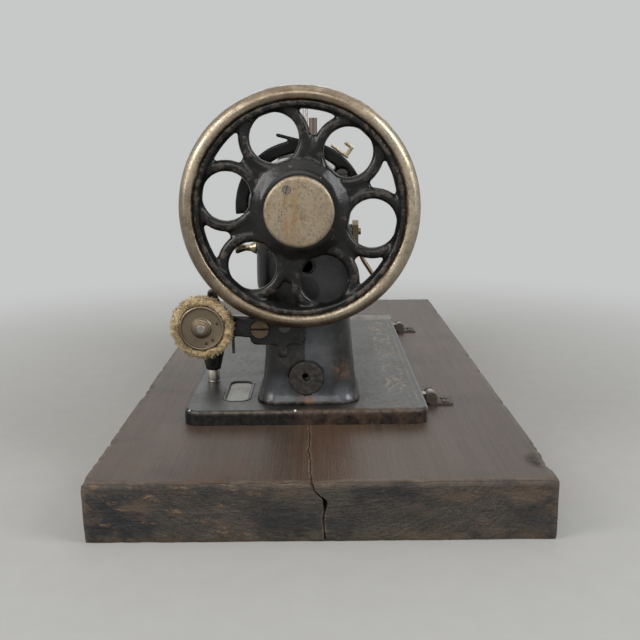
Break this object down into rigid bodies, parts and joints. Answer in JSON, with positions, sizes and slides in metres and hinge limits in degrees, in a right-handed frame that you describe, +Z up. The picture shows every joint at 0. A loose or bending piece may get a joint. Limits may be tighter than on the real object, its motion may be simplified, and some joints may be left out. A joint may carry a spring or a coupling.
{
  "type": "sewing machine",
  "caption": "Antique cast-iron sewing machine head with a looped-spoke handwheel and bobbin winder, hinged on a thick wooden plank base.",
  "frame": {"origin": "middle of the plank's underside", "axes": "+X towards the handwheel end, -Y towards the operator, +Z up"},
  "size_m": [0.583, 0.288, 0.276],
  "materials": {
    "plank_wood": "dark aged plank, worn sheen",
    "hinge_steel": "dull nickel, rust in the corners",
    "dark_screws": "darkened steel",
    "japanned_bed": "glossy black japan, worn",
    "japanned_iron": "glossy black japan, worn",
    "bare_plate": "bare light grey metal",
    "nickel_plates": "worn nickel",
    "bronzed_screws": "browned steel",
    "worn_gold_nickel": "yellowed nickel over brass",
    "dark_covers": "dull dark grey",
    "spool_pin_steel": "dull grey-brown",
    "bush_bronze": "oily bronze",
    "bright_steel": "smooth steel",
    "tarnished_nickel": "tarnished nickel",
    "frayed_tyre": "worn, frayed golden ring",
    "bright_nickel": "polished nickel",
    "black_ebonite": "black, satin",
    "wheel_finish": "black japan with a worn nickel rim",
    "stained_nickel": "mottled nickel with ochre stains",
    "spring_steel": "drawn wire",
    "oily_iron": "oily iron"
  },
  "bodies": {
    "plank": {"base_board": "plank_wood", "hinge_leaves": "hinge_steel", "hinge_pins_and_screws": "dark_screws"},
    "head": {"hinge_eyes": "hinge_steel", "bed_plate": "japanned_bed", "bed_underframe": "japanned_bed", "arm_casting": "japanned_iron", "arm_bolts": "dark_screws", "number_plate": "bare_plate", "needle_plate": "nickel_plates", "plate_screws": "dark_screws", "casting_screws": "bronzed_screws", "face_plate": "nickel_plates", "belt_guard": "japanned_iron", "winder_thread_clip": "worn_gold_nickel", "pillar_covers": "dark_covers", "spool_pin": "spool_pin_steel", "bushes": "bush_bronze", "winder_bracket": "japanned_iron", "winder_pivot_screw": "bronzed_screws", "winding_post": "bright_nickel", "winding_cup": "black_ebonite", "pivot_studs": "bright_steel", "tension_stud": "bright_steel", "tension_discs": "tarnished_nickel", "tension_spring": "spring_steel", "shuttle_race": "bright_steel"},
    "front_slide": {"front_slide_plate": "nickel_plates"},
    "rear_slide": {"rear_slide_plate": "nickel_plates"},
    "stitch_control": {"stitch_regulator": "worn_gold_nickel"},
    "drive": {"handwheel": "wheel_finish", "main_shaft": "bright_steel", "clutch_washer": "bright_steel", "front_crank": "bright_steel", "pillar_eccentric": "bright_steel"},
    "stop_knob": {"stop_motion_knob": "stained_nickel", "stop_knob_screw": "dark_screws"},
    "needle_carrier": {"needle_bar": "bright_steel", "needle_bar_yoke": "bright_steel", "needle_clamp": "tarnished_nickel", "needle": "bright_steel"},
    "take_up": {"take_up_lever": "tarnished_nickel"},
    "presser": {"presser_bar": "bright_steel", "presser_foot": "tarnished_nickel", "presser_spring": "spring_steel"},
    "lifter": {"presser_lifter": "worn_gold_nickel"},
    "tension_nut": {"tension_thumb_nut": "tarnished_nickel"},
    "winder_swing": {"winder_arm": "japanned_iron"},
    "winder_wheel": {"winder_spindle": "bright_steel", "winder_pulley": "tarnished_nickel", "winder_tyre": "frayed_tyre"},
    "rocker": {"rock_shaft": "oily_iron"},
    "rod": {"pillar_rod": "oily_iron"},
    "shuttle_swing": {"shuttle_lever": "oily_iron", "shuttle_carrier": "bright_steel", "shuttle": "bright_steel", "shuttle_bobbin": "tarnished_nickel"},
    "feed_rocker": {"feed_rock_shaft": "oily_iron"},
    "feed": {"feed_bar": "oily_iron", "feed_dog": "bright_steel"}
  },
  "joints": [
    {"name": "head_tilt", "type": "hinge", "parent": "plank", "child": "head", "pos_m": [0, 0.0865, 0.0445], "axis": [-1, 0, 0], "range_deg": [0, 85]},
    {"name": "front_slide_pull", "type": "slide", "parent": "head", "child": "front_slide", "axis": [0, -1, 0], "range_m": [0, 0.055]},
    {"name": "rear_slide_pull", "type": "slide", "parent": "head", "child": "rear_slide", "axis": [0, 1, 0], "range_m": [0, 0.01]},
    {"name": "stitch_set", "type": "slide", "parent": "head", "child": "stitch_control", "axis": [0, 0, 1], "range_m": [-0.008, 0.006]},
    {"name": "wheel_turn", "type": "hinge", "parent": "head", "child": "drive", "pos_m": [0.1965, -0.012, 0.1935], "axis": [1, 0, 0], "continuous": true},
    {"name": "stop_knob_turn", "type": "hinge", "parent": "drive", "child": "stop_knob", "pos_m": [0.21, -0.012, 0.1935], "axis": [1, 0, 0], "range_deg": [0, 90]},
    {"name": "needle_stroke", "type": "slide", "parent": "head", "child": "needle_carrier", "axis": [0, 0, 1], "range_m": [-0.03, 0]},
    {"name": "take_up_swing", "type": "hinge", "parent": "head", "child": "take_up", "pos_m": [-0.0781, -0.018, 0.156], "axis": [1, 0, 0], "range_deg": [0, 35]},
    {"name": "presser_lift", "type": "slide", "parent": "head", "child": "presser", "axis": [0, 0, 1], "range_m": [0, 0.006], "deforming": ["presser_spring"]},
    {"name": "lifter_turn", "type": "hinge", "parent": "head", "child": "lifter", "pos_m": [-0.11, 0.02, 0.147], "axis": [0, -1, 0], "range_deg": [0, 80]},
    {"name": "tension_nut_turn", "type": "hinge", "parent": "head", "child": "tension_nut", "pos_m": [-0.107, -0.06, 0.162], "axis": [0, -1, 0], "continuous": true},
    {"name": "winder_engage", "type": "hinge", "parent": "head", "child": "winder_swing", "pos_m": [0.18, -0.0415, 0.1094], "axis": [-1, 0, 0], "range_deg": [0, 4.5]},
    {"name": "winder_spin", "type": "hinge", "parent": "winder_swing", "child": "winder_wheel", "pos_m": [0.19, -0.0808, 0.1132], "axis": [1, 0, 0], "continuous": true},
    {"name": "rock_shaft_rock", "type": "hinge", "parent": "head", "child": "rocker", "pos_m": [0.09, -0.04323, 0.015], "axis": [1, 0, 0], "range_deg": [-7, 7]},
    {"name": "rod_pivot", "type": "hinge", "parent": "rocker", "child": "rod", "pos_m": [0.1515, -0.0155, 0.026], "axis": [1, 0, 0], "range_deg": [-8, 8]},
    {"name": "shuttle_stroke", "type": "hinge", "parent": "head", "child": "shuttle_swing", "pos_m": [0.02, -0.04, 0.0245], "axis": [0, 0, 1], "range_deg": [-10, 10]},
    {"name": "feed_lift", "type": "hinge", "parent": "head", "child": "feed_rocker", "pos_m": [0, 0.04, 0.034], "axis": [1, 0, 0], "range_deg": [0, 2]},
    {"name": "feed_travel", "type": "slide", "parent": "feed_rocker", "child": "feed", "axis": [0, 1, 0], "range_m": [-0.0015, 0.0015]}
  ],
  "couplings": [
    {"joint": "rod_pivot", "follows": "rock_shaft_rock", "ratio": -1},
    {"joint": "shuttle_stroke", "follows": "rock_shaft_rock", "ratio": -1.357},
    {"joint": "presser_lift", "follows": "lifter_turn", "m_per_rad": 0.0042}
  ]
}
